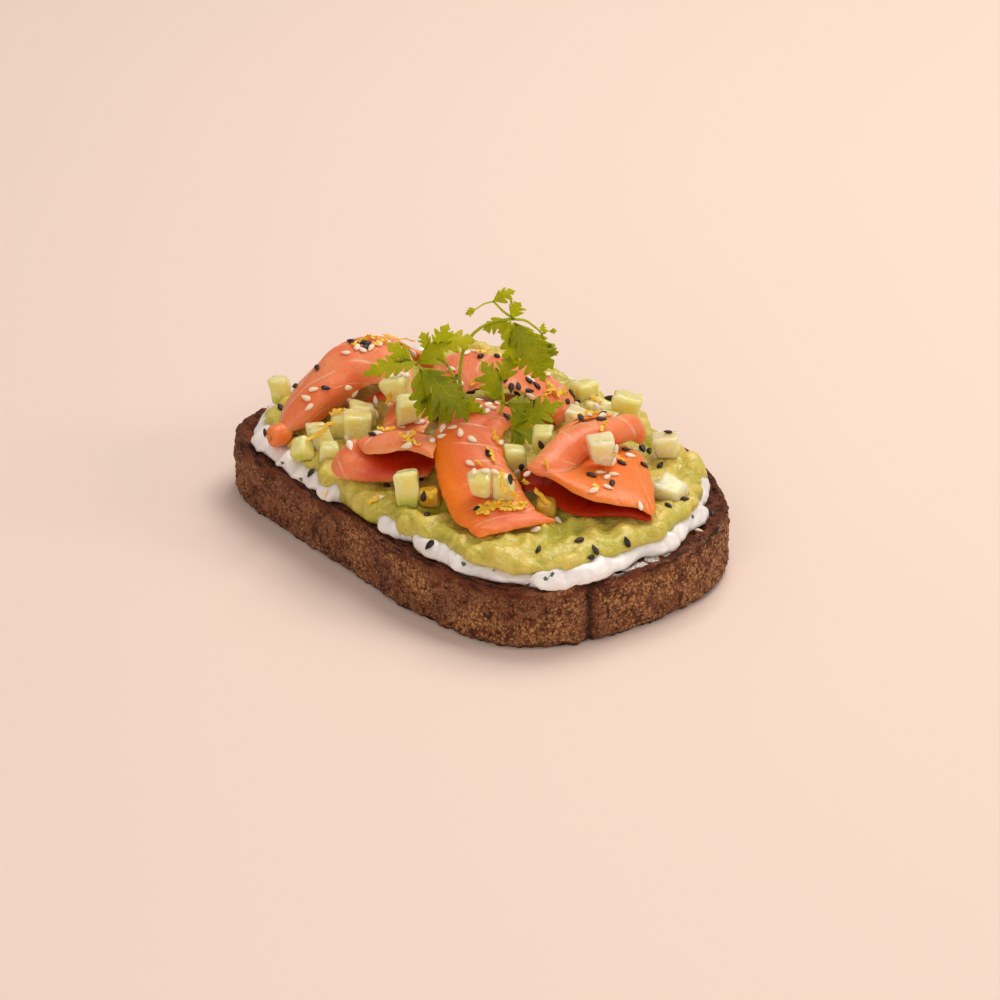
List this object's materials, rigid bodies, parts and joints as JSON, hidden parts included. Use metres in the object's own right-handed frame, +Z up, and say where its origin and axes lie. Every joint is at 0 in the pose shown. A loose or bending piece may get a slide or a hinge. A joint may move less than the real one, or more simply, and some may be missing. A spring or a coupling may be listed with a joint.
{
  "type": "open smoked salmon and avocado sandwich",
  "caption": "Open sandwich on dark rye bread with cream cheese, mashed avocado, folded smoked salmon, cucumber dice, sesame seeds, lemon zest and chervil.",
  "frame": {"origin": "centre of the bounding box at the underside of the bread", "axes": "+X along the slice's long side, +Y across it towards the back of the heap, +Z up"},
  "size_m": [0.145, 0.099, 0.0746],
  "materials": {
    "dark_bread": "dry brown crust and dense crumb",
    "cream_cheese": "smooth and moist, with green herb flecks",
    "avocado": "moist and lumpy",
    "smoked_salmon": "moist and translucent, with pale fat lines",
    "cucumber": "wet and translucent",
    "chervil": "matt soft leaves on thin stems"
  },
  "bodies": {
    "root": {"cucumber_die_01": "cucumber", "cucumber_die_02": "cucumber", "cucumber_die_03": "cucumber", "cucumber_die_04": "cucumber", "cucumber_die_05": "cucumber", "cucumber_die_06": "cucumber", "cucumber_die_07": "cucumber", "cucumber_die_08": "cucumber", "cucumber_die_09": "cucumber", "cucumber_die_10": "cucumber", "cucumber_die_11": "cucumber", "cucumber_die_12": "cucumber", "cucumber_die_13": "cucumber", "cucumber_die_14": "cucumber", "cucumber_die_15": "cucumber", "cucumber_die_16": "cucumber", "cucumber_die_17": "cucumber", "cucumber_die_18": "cucumber", "cucumber_die_19": "cucumber", "cucumber_die_20": "cucumber", "cucumber_die_21": "cucumber", "cucumber_die_22": "cucumber", "cucumber_die_23": "cucumber", "cucumber_die_24": "cucumber", "cucumber_die_25": "cucumber", "cucumber_die_26": "cucumber", "cucumber_die_27": "cucumber", "bread_slice": "dark_bread", "cream_cheese": "cream_cheese", "mashed_avocado": "avocado", "salmon_back_left": "smoked_salmon", "salmon_front_left": "smoked_salmon", "salmon_centre": "smoked_salmon", "salmon_right": "smoked_salmon", "salmon_right_under": "smoked_salmon", "salmon_right_back": "smoked_salmon", "salmon_middle": "smoked_salmon", "salmon_back": "smoked_salmon", "salmon_curl": "smoked_salmon", "chervil_sprig": "chervil"}
  },
  "joints": []
}
